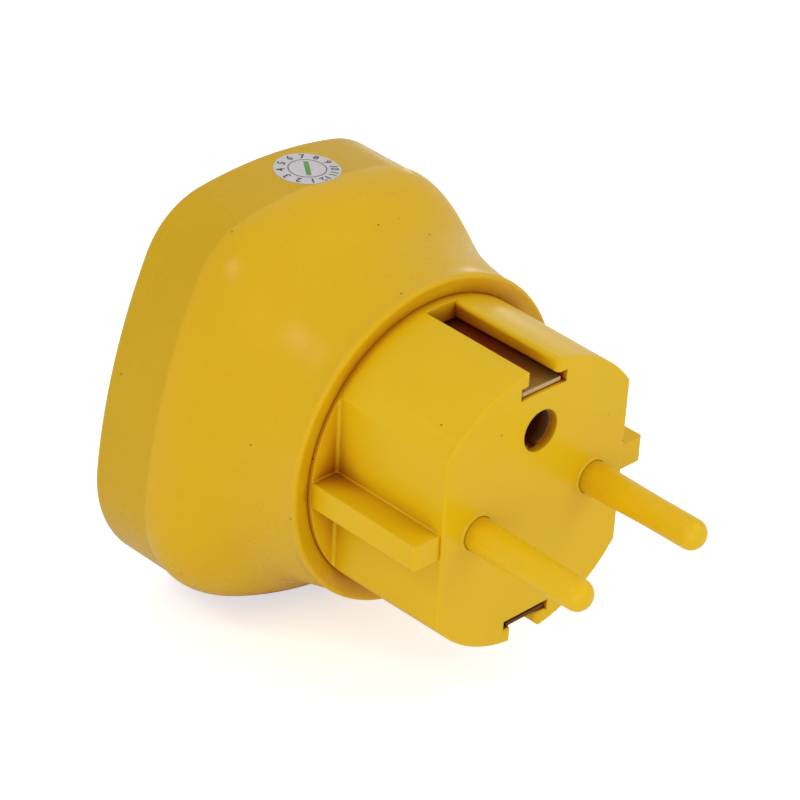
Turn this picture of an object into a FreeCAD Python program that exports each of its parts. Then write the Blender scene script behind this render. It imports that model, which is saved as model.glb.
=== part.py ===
import FreeCAD, Part
import math
import os

# Earth bonding plug: a plug for a European two-pin wall socket that brings out only the earth.
# Frame: the origin is the middle of the head's flat face, halfway between the two pins.
# +Y runs out along the pins into the wall, +Z is up, on the side of the round earth hole.
# X runs across the two pins. All sizes are in millimetres.

Vector = FreeCAD.Vector
ORIGIN = Vector(0, 0, 0)
PIN_WAY = Vector(0, 1, 0)

# Head
head_radius_base = 19.05
head_taper = 0.32
head_radius_face = head_radius_base - head_taper
head_face_round = 0.25
shoulder_fillet = 0.4
flat_drop = 4.05
flat_half_width = head_radius_base - flat_drop
flat_length = 17.8
head_floor = 2.2
head_wall = 2.4
flat_wall = 2.0
skirt_bore_start = 20.0
flange_step = 0.6
flange_radius = head_radius_base + flange_step
flange_thickness = 2.0
rib_thickness = 1.4

# Guide fins on the flats
fin_thickness = 3.4
fin_setback = 0.15
fin_reach = head_radius_base - fin_setback
fin_front_gap = 0.45
fin_round = 0.5
fin_root_fillet = 0.2

# Undercut slots for the earth strap, top and bottom
slot_width = 7.4
slot_floor_drop = 3.8
slot_floor_height = head_radius_base - slot_floor_drop
slot_height = 1.35
slot_wall = 1.7
mouth_width = 4.3
mouth_length = 17.0
mouth_edge_round = 0.6
mouth_edge_lift = 0.05
lip_round = 0.8
lip_edge_round = 0.4

# Dummy pins
pin_spacing = 19.0
pin_length = 17.7
pin_root_radius = 2.15
pin_tip_radius = 1.95
pin_taper_length = 10.0
pin_tip_round = 1.75
pin_hole_clearance = 0.05
pin_shoulder_radius = 3.2
pin_shoulder_thickness = 2.0
pin_shank_radius = 2.0
pin_rim_height = 0.25
pin_rim_width = 0.4
tower_wall = 1.3

# Earth contact sleeve behind the hole in the face
sleeve_height = 10.0
face_hole_radius = 2.7
sleeve_bore_radius = 2.45
sleeve_wall = 0.5
sleeve_front_depth = 1.1
sleeve_depth = 16.0
sleeve_slit = 1.4
sleeve_shank_radius = 1.3
sleeve_peen_radius = 2.0
sleeve_peen_thickness = 0.5
sleeve_peen_bevel = 0.3
sleeve_clearance = 0.15

# Earth strap
strap_width = 6.2
strap_thickness = 0.5
strap_top_gap = 0.45
strap_low_gap = 1.2
strap_slot_clearance = 0.15
strap_bend = 1.6

# Retainer plate across the back of the head
retainer_depth = 22.0
retainer_thickness = 2.2
retainer_clearance = 0.2
retainer_screw_inset = 2.84
retainer_screw_angle = math.radians(-42)
screw_boss_radius = 2.7
retainer_screw_length = 8.0

# Housing outline, seen from the front: two corner rounds and three bowed sides, mirrored to the left
top_corner_x = 8.65
top_corner_z = 14.3
top_corner_radius = 11.2
low_corner_x = 10.6
low_corner_z = -10.1
low_corner_radius = 16.1
top_bow_radius = 58.0
side_bow_radius = 84.0
low_bow_radius = 42.0

# Housing: the bell between the rim band and the collar
# Each station of the bell is its share of the way from the collar to the crease, how much of the
# rim's outline it has (the rest is the neck's circle), and how much of the collar's flare.
crease_depth = 39.0
rim_depth = 48.6
band_flare = 0.2
rim_round = 0.7
neck_step = 2.25
neck_radius = head_radius_base + neck_step
bell_stations = (
    (0.0, 0.0, 1.0), (0.05, 0.005, 0.65), (0.1, 0.03, 0.38), (0.17, 0.08, 0.16), (0.25, 0.13, 0.04),
    (0.335, 0.193, 0.0), (0.5, 0.395, 0.0), (0.67, 0.762, 0.0), (0.835, 0.985, 0.0), (1.0, 1.0, 0.0),
)
ledge_depth = 26.0
housing_wall = 2.0
hollow_limit = 40.0
collar_flare = 0.3
collar_radius = neck_radius + collar_flare
collar_front_depth = 17.9
collar_thickness = 0.6
collar_outer_round = 0.5
collar_dish = 0.45
collar_gap = 0.05

# Front cover
cover_recess = 0.4
cover_thickness = 2.6
cover_rebate = 1.0
cover_clearance = 0.1
cover_rib_height = 3.0
cover_rib_wall = 1.2
pillar_angle = math.radians(60.6)
pillar_edge = 0.15
pillar_root_radius = 2.2
pillar_tip_radius = 1.5

# Cover screws and their bosses in the housing
boss_radius = 3.3
boss_inset = 5.0
boss_side_angle = math.radians(21)
boss_end_depth = 29.5
screw_head_radius = 2.8
screw_head_height = 1.5
screw_shank_radius = 1.5
screw_length = 12.0
screw_clearance = 0.1
screw_pilot_radius = 1.3
screw_point_length = 1.5
driver_slot_width = 0.8
driver_slot_depth = 0.8
driver_slot_length = 4.0

# Press studs, 10 mm size
stud_top_z = 13.5
stud_side_x = 14.0
stud_side_z = -9.5
stud_flange_radius = 7.5
stud_sheet = 0.45
stud_neck_radius = 4.5
stud_bulge_radius = 4.9
stud_height = 4.6
stud_land = 1.4
stud_dimple_radius = 3.1
stud_shoulder_height = 1.2
stud_edge_bevel = 0.3

# Eyelets through the studs
eyelet_radius = 2.1
eyelet_bore_radius = 1.6
eyelet_flange_radius = 3.6
eyelet_curl_radius = 2.8
eyelet_sheet = 0.4
eyelet_curl_height = 0.75
eyelet_clearance = 0.1

# Solder tags under the eyelets, and the common tag on the strap
tag_ring_radius = 4.0
tag_sheet = 0.5
tag_width = 3.0
tag_step = 2.2
tag_reach = 8.0
lead_hole_radius = 0.4
common_hub_radius = 3.4

# Screw in the middle of the common tag
small_head_radius = 2.5
small_head_height = 1.6
small_head_bevel = 0.6
small_shank_radius = 1.2
small_pilot_radius = 1.0
common_screw_length = 3.0

# Resistors
resistor_length = 6.4
resistor_end_radius = 1.2
resistor_waist_radius = 1.05
resistor_cap_length = 1.4
resistor_bevel = 0.4
lead_radius = 0.3
lead_tail = 0.8

# How far a cut runs past the face it opens, and how far joined shapes reach into each other
margin = 1.0

# How near two places must be to count as the same one
touch = 0.01


def point(x, depth, z):
    """A point given by its depth behind the head's face."""
    return Vector(x, -depth, z)


def cylinder(x, z, radius, near_depth, far_depth):
    """A round bar along the pins' way, from the near depth back to the far depth."""
    return Part.makeCylinder(radius, far_depth - near_depth, point(x, far_depth, z), PIN_WAY)


def cylinder_up(x, depth, radius):
    """A tall round bar along Z."""
    return Part.makeCylinder(radius, 2 * head_radius_base, point(x, depth, -head_radius_base))


def cone(x, z, near_radius, far_radius, near_depth, far_depth):
    """A tapered bar along the pins' way."""
    return Part.makeCone(far_radius, near_radius, far_depth - near_depth, point(x, far_depth, z), PIN_WAY)


def block(x_low, x_high, near_depth, far_depth, z_low, z_high):
    """A block between two values of x, two depths and two heights."""
    corner = point(x_low, far_depth, z_low)
    return Part.makeBox(x_high - x_low, far_depth - near_depth, z_high - z_low, corner)


def turned(corners, x=0.0, z=0.0):
    """A solid turned about an axis along the pins' way from (radius, depth) corners."""
    wire = Part.makePolygon([point(r, depth, 0) for r, depth in corners + corners[:1]])
    solid = Part.Face(wire).revolve(ORIGIN, PIN_WAY, 360)
    solid.translate(Vector(x, 0, z))
    return solid


def fuse(shapes):
    """One solid from several that touch or overlap."""
    return shapes[0].multiFuse(shapes[1:]).removeSplitter()


def mirrored_x(shape):
    return shape.mirror(ORIGIN, Vector(1, 0, 0))


def mirrored_y(shape):
    return shape.mirror(ORIGIN, Vector(0, 1, 0))


def mirrored_z(shape):
    return shape.mirror(ORIGIN, Vector(0, 0, 1))


def pointed_at(shape, x, z):
    """Turns a shape that lies along +X, so that it points at the given place."""
    shape.rotate(ORIGIN, PIN_WAY, -math.degrees(math.atan2(z, x)))
    return shape


def round_edges(shape, radius, wanted):
    """Rounds each edge whose middle point passes the test."""
    edges = []
    for edge in shape.Edges:
        middle = edge.valueAt((edge.FirstParameter + edge.LastParameter) / 2)
        if wanted(edge, middle):
            edges.append(edge)
    return shape.makeFillet(radius, edges)


# The housing's outline is a chain of tangent arcs. Each section of the bell blends it with the
# neck's circle: every arc keeps its turning angle while its centre and radius change, so each
# section is again a chain of tangent arcs, and neighbouring faces stay smooth all round.

def direction(start, end):
    return math.atan2(end[1] - start[1], end[0] - start[0])


def bow_centre_between(first, first_radius, second, second_radius, bow_radius):
    """Centre of the large arc that touches two corner rounds from outside."""
    span = math.dist(first, second)
    reach_first = bow_radius - first_radius
    reach_second = bow_radius - second_radius
    along = (reach_first ** 2 - reach_second ** 2 + span ** 2) / (2 * span)
    away = math.sqrt(reach_first ** 2 - along ** 2)
    way = ((second[0] - first[0]) / span, (second[1] - first[1]) / span)
    return (first[0] + along * way[0] + away * way[1], first[1] + along * way[1] - away * way[0])


def outline_arcs():
    """Every arc of the outline, clockwise from the top: centre x, centre z, radius, start and end angle."""
    top_corner = (top_corner_x, top_corner_z)
    low_corner = (low_corner_x, low_corner_z)
    top_fall = math.sqrt((top_bow_radius - top_corner_radius) ** 2 - top_corner_x ** 2)
    low_rise = math.sqrt((low_bow_radius - low_corner_radius) ** 2 - low_corner_x ** 2)
    top_bow = (0.0, top_corner_z - top_fall)
    low_bow = (0.0, low_corner_z + low_rise)
    side_bow = bow_centre_between(
        top_corner, top_corner_radius, low_corner, low_corner_radius, side_bow_radius)
    joins = [
        math.pi / 2, direction(top_bow, top_corner), direction(side_bow, top_corner),
        direction(side_bow, low_corner), direction(low_bow, low_corner), -math.pi / 2,
    ]
    centres = [top_bow, top_corner, side_bow, low_corner, low_bow]
    radii = [top_bow_radius, top_corner_radius, side_bow_radius, low_corner_radius, low_bow_radius]
    right = []
    left = []
    for centre, radius, start, end in zip(centres, radii, joins, joins[1:]):
        right.append((centre[0], centre[1], radius, start, end))
        left.append((-centre[0], centre[1], radius, -math.pi - end, -math.pi - start))
    return right + left[::-1]


def section_reach(radius, fullness, inset):
    """Radius of one arc of a section: fullness 1 is the rim's outline, 0 is the neck's circle."""
    return fullness * radius + (1 - fullness) * neck_radius - inset


def section_place(centre_x, centre_z, fullness, reach, angle, depth):
    """A place on one arc of a section."""
    x = fullness * centre_x + reach * math.cos(angle)
    z = fullness * centre_z + reach * math.sin(angle)
    return point(x, depth, z)


def section_face(depth, fullness, inset):
    """Flat face inside one section."""
    edges = []
    for centre_x, centre_z, radius, start, end in outline_arcs():
        reach = section_reach(radius, fullness, inset)
        places = []
        for angle in (start, (start + end) / 2, end):
            places.append(section_place(centre_x, centre_z, fullness, reach, angle, depth))
        edges.append(Part.Arc(*places).toShape())
    return Part.Face(Part.Wire(edges))


def skin_faces(stations):
    """Exact faces, one for each arc, along a smooth run of (depth, fullness, inset) stations."""
    run = Part.BSplineCurve()
    run.interpolate([Vector(*station) for station in stations])
    faces = []
    for centre_x, centre_z, radius, start, end in outline_arcs():
        bulge = math.cos((end - start) / 2)
        rows = []
        weights = []
        for angle, weight in ((start, 1.0), ((start + end) / 2, bulge), (end, 1.0)):
            row = []
            for pole in run.getPoles():
                depth, fullness, inset = pole
                reach = section_reach(radius, fullness, inset) / weight
                row.append(section_place(centre_x, centre_z, fullness, reach, angle, depth))
            rows.append(row)
            weights.append([weight] * len(row))
        face = Part.BSplineSurface()
        face.buildFromPolesMultsKnots(rows, [3, 3], run.getMultiplicities(), [0.0, 1.0], run.getKnots(),
                                      False, False, 2, run.Degree, weights)
        faces.append(face.toShape())
    return faces


def skinned(runs):
    """Solid inside one or more runs of stations that follow each other, closed by two flat ends."""
    faces = [section_face(*runs[0][0]), section_face(*runs[-1][-1])]
    for stations in runs:
        faces += skin_faces(stations)
    shell = Part.makeShell(faces)
    shell.sewShape()
    solid = Part.makeSolid(shell)
    if solid.Volume < 0:
        solid.reverse()
    return solid


def bell_run(inset):
    """The bell's stations as (depth, fullness, inset), from the collar back to the crease."""
    start = collar_front_depth + collar_thickness
    run = []
    for share, fullness, flare in bell_stations:
        run.append((start + share * (crease_depth - start), fullness, inset - flare * collar_flare))
    return run


def band_solid(inset, near_depth, far_depth):
    """The nearly straight rim band between two depths."""
    return skinned([[(near_depth, 1.0, inset), (far_depth, 1.0, inset - band_flare)]])


def rim_stations():
    """Quarter round at the front edge of the rim."""
    steps = 4
    stations = []
    for step in range(steps + 1):
        angle = math.pi / 2 * step / steps
        depth = rim_depth - rim_round * (1 - math.sin(angle))
        stations.append((depth, 1.0, rim_round * (1 - math.cos(angle)) - band_flare))
    return stations


def cover_seat_depth():
    """Depth of the face that the cover rests on, inside the rim."""
    return rim_depth - cover_recess - cover_thickness


def place_in_outline(angle, inset):
    """The place that lies inside the rim's outline by the inset, where its side faces the angle."""
    for centre_x, centre_z, radius, start, end in outline_arcs():
        if end <= angle <= start:
            break
    reach = radius - inset
    return centre_x + reach * math.cos(angle), centre_z + reach * math.sin(angle)


def boss_places():
    x, z = place_in_outline(boss_side_angle, boss_inset)
    return [(x, z), (-x, z), place_in_outline(-math.pi / 2, boss_inset)]


def collar_lip():
    """The lip with a rounded crest where the bell ends round the head, still without its bore."""
    near = collar_front_depth
    far = near + collar_thickness
    disc = cylinder(0, 0, collar_radius, near, far)
    return round_edges(disc, collar_outer_round, lambda edge, middle: middle.y > -near - touch)


def collar_bore():
    """What is cut out for the head: a shallow dish in the lip's face, then the bore."""
    bore_radius = head_radius_base + collar_gap
    dish_radius = collar_radius - collar_outer_round
    near = collar_front_depth
    dish_end = near + collar_dish
    far = ledge_depth + margin
    return turned([
        (0, near - margin), (dish_radius, near - margin), (dish_radius, near), (bore_radius, dish_end),
        (bore_radius, far), (0, far),
    ])


def rear_housing():
    band = [(crease_depth, 1.0, 0.0), rim_stations()[0]]
    bell_and_band = skinned([bell_run(0.0), band, rim_stations()])
    outside = fuse([bell_and_band, collar_lip()])
    seat = cover_seat_depth()
    hollow_band = [(crease_depth, 1.0, housing_wall), (seat, 1.0, housing_wall - band_flare)]
    hollow = skinned([bell_run(housing_wall), hollow_band])
    hollow = hollow.cut(cylinder(0, 0, hollow_limit, 0, ledge_depth))
    rebate = band_solid(cover_rebate, seat, rim_depth + margin)
    shell = outside.cut(hollow).cut(rebate).cut(collar_bore())
    bosses = []
    pilots = []
    for x, z in boss_places():
        bosses.append(cylinder(x, z, boss_radius, boss_end_depth, seat).common(outside))
        pilots.append(cylinder(x, z, screw_pilot_radius, seat - screw_length, seat + margin))
    shell = fuse([shell] + bosses)
    return shell.cut(Part.makeCompound(pilots))


def slot_undercut():
    """The wide inner part of the top slot, open to the face and to the back of the head."""
    half = slot_width / 2
    top = slot_floor_height + slot_height
    return block(-half, half, -margin, skirt_bore_start + margin, slot_floor_height, top)


def lip_relief():
    """What rounds the front corner of the lip at +X, all the way up."""
    half = mouth_width / 2
    corner = block(half, half + lip_round, 0, lip_round, slot_floor_height, head_radius_base)
    return corner.cut(cylinder_up(half + lip_round, lip_round, lip_round))


def mouth_edge():
    """What rounds the outer edge of the lip at +X; it rises along the lip with the head's taper."""
    half = mouth_width / 2
    bend = mouth_edge_round
    slant = bend * math.sin(math.pi / 4)
    face_top = math.sqrt(head_radius_face ** 2 - (half + bend) ** 2)
    base_top = math.sqrt(head_radius_base ** 2 - (half + bend) ** 2)
    rise = (base_top - face_top) / flat_length
    top = face_top - rise * margin + mouth_edge_lift
    low = point(half, -margin, top - bend)
    middle = point(half + bend - slant, -margin, top - bend + slant)
    high = point(half + bend, -margin, top)
    edges = [Part.Arc(low, middle, high).toShape()]
    corners = [high, point(half + bend, -margin, top + margin), point(0, -margin, top + margin)]
    corners += [point(0, -margin, top - bend), low]
    for first, second in zip(corners, corners[1:]):
        edges.append(Part.LineSegment(first, second).toShape())
    run = mouth_length + margin
    return Part.Face(Part.Wire(edges)).extrude(Vector(0, -run, rise * run))


def slot_mouth():
    """The narrower part of the top slot that opens outwards between two lips."""
    half = mouth_width / 2
    mouth = block(-half, half, -margin, mouth_length, slot_floor_height, head_radius_base + margin)
    return fuse([mouth, lip_relief(), mirrored_x(lip_relief()), mouth_edge(), mirrored_x(mouth_edge())])


def fin():
    """Guide fin on the flat at +X."""
    half = fin_thickness / 2
    bar = block(flat_half_width - margin, fin_reach, fin_front_gap, flat_length + margin, -half, half)

    def front_corner(edge, middle):
        at_front = middle.y > -fin_front_gap - touch
        return at_front and middle.x > fin_reach - touch

    return round_edges(bar, fin_round, front_corner)


def head_cavity():
    """The hollow inside the head, less the walls round the slots."""
    front = cylinder(0, 0, head_radius_face - head_wall, head_floor, skirt_bore_start)
    limit = flat_half_width - flat_wall
    between_flats = block(-limit, limit, 0, skirt_bore_start, -head_radius_base, head_radius_base)
    half = slot_width / 2 + slot_wall
    top_wall = block(-half, half, 0, skirt_bore_start, slot_floor_height - slot_wall, head_radius_base)
    front = front.common(between_flats).cut(Part.makeCompound([top_wall, mirrored_z(top_wall)]))
    back_end = ledge_depth + flange_thickness
    skirt = cylinder(0, 0, head_radius_base - head_wall, skirt_bore_start, back_end + margin)
    return front.fuse(skirt)


def retainer_screw_places():
    reach = head_radius_base - head_wall - retainer_screw_inset
    x = reach * math.cos(retainer_screw_angle)
    z = reach * math.sin(retainer_screw_angle)
    return [(-x, z), (x, z)]


def head_towers():
    """Tubes and bosses that stand on the inside of the face, and the ribs between them."""
    pin_tower = pin_shoulder_radius + tower_wall
    sleeve_tower = sleeve_bore_radius + sleeve_wall + sleeve_clearance + tower_wall
    half_rib = rib_thickness / 2
    towers = []
    for x in (-pin_spacing / 2, pin_spacing / 2):
        towers.append(cylinder(x, 0, pin_tower, margin, retainer_depth))
    towers.append(cylinder(0, sleeve_height, sleeve_tower, margin, retainer_depth))
    for x, z in retainer_screw_places():
        towers.append(cylinder(x, z, screw_boss_radius, margin, retainer_depth))
    towers.append(block(-pin_spacing / 2, pin_spacing / 2, margin, flat_length, -half_rib, half_rib))
    towers.append(block(-half_rib, half_rib, margin, flat_length, -slot_floor_height, sleeve_height))
    return fuse(towers)


def flat_cut():
    """What is cut away beside the flat at +X, with a fillet where the flat meets the round base."""
    outer = head_radius_base + margin
    bend = shoulder_fillet
    slant = bend * math.sin(math.pi / 4)
    start = point(flat_half_width, flat_length - bend, 0)
    middle = point(flat_half_width + bend - slant, flat_length - bend + slant, 0)
    end = point(flat_half_width + bend, flat_length, 0)
    edges = [Part.Arc(start, middle, end).toShape()]
    corners = [
        end, point(outer, flat_length, 0), point(outer, -margin, 0), point(flat_half_width, -margin, 0), start,
    ]
    for first, second in zip(corners, corners[1:]):
        edges.append(Part.LineSegment(first, second).toShape())
    prism = Part.Face(Part.Wire(edges)).extrude(Vector(0, 0, 2 * outer))
    prism.translate(Vector(0, 0, -outer))
    return prism


def head_outside():
    """The drum with its two flats and two fins, its round base and the flange behind it."""
    back_end = ledge_depth + flange_thickness
    drum = cone(0, 0, head_radius_face, head_radius_base, 0, flat_length)
    base = cylinder(0, 0, head_radius_base, flat_length, back_end)
    flange = cylinder(0, 0, flange_radius, ledge_depth, back_end)
    body = fuse([drum, base, flange]).cut(flat_cut()).cut(mirrored_x(flat_cut()))
    body = round_edges(body, head_face_round, lambda edge, middle: middle.y > -touch)
    right_fin = fin()
    body = fuse([body, right_fin, mirrored_x(right_fin)])

    def at_fin_root(edge, middle):
        beside = abs(abs(middle.z) - fin_thickness / 2) < touch
        along = abs(abs(middle.x) - flat_half_width) < touch
        return beside and along and edge.Length > flat_length / 2

    return round_edges(body, fin_root_fillet, at_fin_root)


def plug_head():
    inner_limit = cylinder(0, 0, head_radius_face - flat_wall, 0, retainer_depth)
    body = fuse([head_outside().cut(head_cavity()), head_towers().common(inner_limit)])
    rims = []
    cuts = [slot_undercut(), mirrored_z(slot_undercut()), slot_mouth(), mirrored_z(slot_mouth())]
    tower_end = retainer_depth + margin
    for x in (-pin_spacing / 2, pin_spacing / 2):
        hole = pin_root_radius + pin_hole_clearance
        rims.append(cone(x, 0, hole + pin_rim_width / 2, hole + pin_rim_width, -pin_rim_height, 0))
        cuts.append(cylinder(x, 0, hole, -margin, head_floor))
        cuts.append(cylinder(x, 0, pin_shoulder_radius + pin_hole_clearance, head_floor, tower_end))
    tube = sleeve_bore_radius + sleeve_wall + sleeve_clearance
    cuts.append(cylinder(0, sleeve_height, face_hole_radius, -margin, head_floor))
    cuts.append(cylinder(0, sleeve_height, tube, sleeve_front_depth, tower_end))
    pilot_start = retainer_depth + retainer_thickness - retainer_screw_length
    for x, z in retainer_screw_places():
        cuts.append(cylinder(x, z, small_pilot_radius, pilot_start, tower_end))
    body = fuse([body] + rims)
    for cut in cuts:
        body = body.cut(cut)

    def along_lip(edge, middle):
        beside = abs(abs(middle.x) - mouth_width / 2) < touch
        under = abs(abs(middle.z) - slot_floor_height - slot_height) < touch
        return beside and under and edge.Length > mouth_length / 2

    return round_edges(body, lip_edge_round, along_lip)


def dummy_pin(x):
    """A moulded pin: tapered front, rounded tip, and a shank with two shoulders inside the head."""
    near_shoulder = head_floor + pin_shoulder_thickness
    far_shoulder = retainer_depth - pin_shoulder_thickness
    front = turned([
        (0, head_floor), (pin_root_radius, head_floor), (pin_root_radius, 0),
        (pin_tip_radius, -pin_taper_length), (pin_tip_radius, -pin_length), (0, -pin_length),
    ])
    front = round_edges(front, pin_tip_round, lambda edge, middle: middle.y > pin_length - touch)
    back = turned([
        (0, head_floor), (pin_shoulder_radius, head_floor), (pin_shoulder_radius, near_shoulder),
        (pin_shank_radius, near_shoulder), (pin_shank_radius, far_shoulder),
        (pin_shoulder_radius, far_shoulder), (pin_shoulder_radius, retainer_depth), (0, retainer_depth),
    ])
    pin = fuse([front, back])
    pin.translate(Vector(x, 0, 0))
    return pin


def strap_back_depth():
    """Depth of the strap's outer face behind the retainer plate."""
    return retainer_depth + retainer_thickness + strap_thickness


def strap_outline(offset):
    """The strap's bent profile as a U in the plane x = 0, moved in from its outer side by the offset."""
    top = slot_floor_height + strap_slot_clearance + strap_thickness - offset
    back = strap_back_depth() - offset
    bend = strap_bend - offset
    slant = bend * math.cos(math.pi / 4)
    low_middle = point(0, back - bend + slant, -(top - bend + slant))
    high_middle = point(0, back - bend + slant, top - bend + slant)
    return [
        Part.LineSegment(point(0, strap_top_gap, top), point(0, back - bend, top)).toShape(),
        Part.Arc(point(0, back - bend, top), high_middle, point(0, back, top - bend)).toShape(),
        Part.LineSegment(point(0, back, top - bend), point(0, back, bend - top)).toShape(),
        Part.Arc(point(0, back, bend - top), low_middle, point(0, back - bend, -top)).toShape(),
        Part.LineSegment(point(0, back - bend, -top), point(0, strap_low_gap, -top)).toShape(),
    ]


def earth_strap():
    """One U-shaped strip: a leg in each slot, and a bridge behind the retainer plate."""
    outer = strap_outline(0.0)
    inner = strap_outline(strap_thickness)
    top = slot_floor_height + strap_slot_clearance
    ends = []
    for side, gap in ((1, strap_top_gap), (-1, strap_low_gap)):
        start = point(0, gap, side * top)
        end = point(0, gap, side * (top + strap_thickness))
        ends.append(Part.LineSegment(start, end).toShape())
    face = Part.Face(Part.Wire(Part.__sortEdges__(outer + inner + ends)))
    strip = face.extrude(Vector(strap_width, 0, 0))
    strip.translate(Vector(-strap_width / 2, 0, 0))
    near = retainer_depth
    far = strap_back_depth() + margin
    sleeve_hole = cylinder(0, sleeve_height, sleeve_shank_radius, near, far)
    screw_hole = cylinder(0, 0, small_shank_radius + screw_clearance, near, far)
    return strip.cut(Part.makeCompound([sleeve_hole, screw_hole]))


def earth_sleeve():
    """Slit tube open towards the face; its shank goes through the plate and strap and is peened."""
    outer = sleeve_bore_radius + sleeve_wall
    back = strap_back_depth()
    peen = back + sleeve_peen_thickness
    tube = turned([
        (sleeve_bore_radius, sleeve_front_depth), (outer, sleeve_front_depth), (outer, retainer_depth),
        (sleeve_shank_radius, retainer_depth), (sleeve_shank_radius, back), (sleeve_peen_radius, back),
        (sleeve_peen_radius, peen - sleeve_peen_bevel), (sleeve_peen_radius - sleeve_peen_bevel, peen),
        (0, peen), (0, sleeve_depth), (sleeve_bore_radius, sleeve_depth),
    ], z=sleeve_height)
    half = sleeve_slit / 2
    slit = block(-half, half, 0, sleeve_depth, sleeve_height - outer - margin, sleeve_height)
    return tube.cut(slit)


def retainer_plate():
    near = retainer_depth - margin
    far = retainer_depth + retainer_thickness
    plate_radius = head_radius_base - head_wall - retainer_clearance
    plate = cylinder(0, 0, plate_radius, retainer_depth, far)
    half = strap_width / 2 + retainer_clearance
    floor = slot_floor_height + strap_slot_clearance + strap_thickness - strap_bend - retainer_clearance
    notch = block(-half, half, near, far + margin, floor, head_radius_base)
    cuts = [notch, mirrored_z(notch)]
    cuts.append(cylinder(0, sleeve_height, sleeve_shank_radius, near, far + margin))
    cuts.append(cylinder(0, 0, small_pilot_radius, near, far + margin))
    for x, z in retainer_screw_places():
        cuts.append(cylinder(x, z, small_shank_radius + screw_clearance, near, far + margin))
    return plate.cut(Part.makeCompound(cuts))


def pan_screw(x, z, seat_depth, length, shank_radius):
    """A small screw whose head sits on the seat and whose shank points at the wall."""
    head_end = seat_depth + small_head_height
    return turned([
        (0, seat_depth - length), (shank_radius / 2, seat_depth - length),
        (shank_radius, seat_depth - length + shank_radius), (shank_radius, seat_depth),
        (small_head_radius, seat_depth), (small_head_radius, head_end - small_head_bevel),
        (small_head_radius - small_head_bevel, head_end), (0, head_end),
    ], x, z)


def retainer_screws():
    seat = retainer_depth + retainer_thickness
    screws = []
    for x, z in retainer_screw_places():
        screws.append(pan_screw(x, z, seat, retainer_screw_length, small_pilot_radius))
    return Part.makeCompound(screws)


def common_screw():
    return pan_screw(0, 0, strap_back_depth() + tag_sheet, common_screw_length, small_pilot_radius)


def lead_places():
    """Where each resistor stands: on the line from its stud to the middle, one reach inwards."""
    places = []
    for x, z in stud_places():
        distance = math.hypot(x, z)
        share = (distance - tag_reach) / distance
        places.append((x * share, z * share))
    return places


def stud_places():
    return [(0.0, stud_top_z), (-stud_side_x, stud_side_z), (stud_side_x, stud_side_z)]


def stepped_strip(far, step_start, reach):
    """A strip along +X: flat against its seat at the far depth, then stepped away from it."""
    near = far - tag_sheet
    raised = near - tag_step
    step_end = step_start + tag_step
    shift = tag_sheet * math.tan(math.pi / 8)
    outline = Part.makePolygon([
        point(0, far, 0), point(step_start, far, 0), point(step_end, raised + tag_sheet, 0),
        point(reach, raised + tag_sheet, 0), point(reach, raised, 0), point(step_end - shift, raised, 0),
        point(step_start - shift, near, 0), point(0, near, 0), point(0, far, 0),
    ])
    strip = Part.Face(outline).extrude(Vector(0, 0, tag_width))
    strip.translate(Vector(0, 0, -tag_width / 2))
    return fuse([strip, cylinder(reach, 0, tag_width / 2, raised, raised + tag_sheet)])


def common_tag():
    """Three-armed tag on the strap; each arm has a hole for one resistor lead."""
    near = strap_back_depth()
    far = near + tag_sheet
    parts = [cylinder(0, 0, common_hub_radius, near, far)]
    holes = [cylinder(0, 0, small_shank_radius + screw_clearance, near - margin, far + margin)]
    for x, z in lead_places():
        arm = mirrored_y(stepped_strip(-near, common_hub_radius, math.hypot(x, z)))
        parts.append(pointed_at(arm, x, z))
        holes.append(cylinder(x, z, lead_hole_radius, near, far + tag_step + margin))
    return fuse(parts).cut(Part.makeCompound(holes))


def cover_front_depth():
    return rim_depth - cover_recess


def front_cover():
    front = cover_front_depth()
    seat = cover_seat_depth()
    plate = band_solid(cover_rebate + cover_clearance, seat, front)
    rib_end = seat - cover_rib_height
    rib_inset = housing_wall + cover_clearance
    rib_inside = band_solid(rib_inset + cover_rib_wall, rib_end - margin, seat + margin)
    rib = band_solid(rib_inset, rib_end, seat).cut(rib_inside)
    for x, z in boss_places():
        rib = rib.cut(cylinder(x, z, boss_radius + cover_clearance, rib_end - margin, seat))
    pillars = []
    flange_back = ledge_depth + flange_thickness
    reach = flange_radius - pillar_edge - pillar_tip_radius
    for angle in (pillar_angle, math.pi - pillar_angle, math.pi + pillar_angle, -pillar_angle):
        x = reach * math.cos(angle)
        z = reach * math.sin(angle)
        pillars.append(cone(x, z, pillar_tip_radius, pillar_root_radius, flange_back, seat))
    cover = fuse([plate, rib] + pillars)
    cuts = []
    for x, z in boss_places():
        hole = screw_shank_radius + screw_clearance
        head = screw_head_radius + screw_clearance
        cuts.append(cylinder(x, z, hole, seat - margin, front + margin))
        cuts.append(cone(x, z, hole, head, front - screw_head_height, front))
    for x, z in stud_places():
        cuts.append(cylinder(x, z, eyelet_radius, seat - margin, front + margin))
    return cover.cut(Part.makeCompound(cuts))


def cover_screws():
    """Three countersunk screws, heads flush with the cover, threads in the housing's bosses."""
    front = cover_front_depth()
    tip = front - screw_length
    screws = []
    for x, z in boss_places():
        screw = turned([
            (0, tip), (screw_pilot_radius / 2, tip), (screw_pilot_radius, tip + screw_point_length),
            (screw_pilot_radius, cover_seat_depth()), (screw_shank_radius, cover_seat_depth()),
            (screw_shank_radius, front - screw_head_height), (screw_head_radius, front), (0, front),
        ], x, z)
        half = driver_slot_width / 2
        reach = driver_slot_length / 2
        bottom = front - driver_slot_depth
        screw = screw.cut(block(x - reach, x + reach, bottom, front + margin, z - half, z + half))
        screw = screw.cut(block(x - half, x + half, bottom, front + margin, z - reach, z + reach))
        screws.append(screw)
    return Part.makeCompound(screws)


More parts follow.
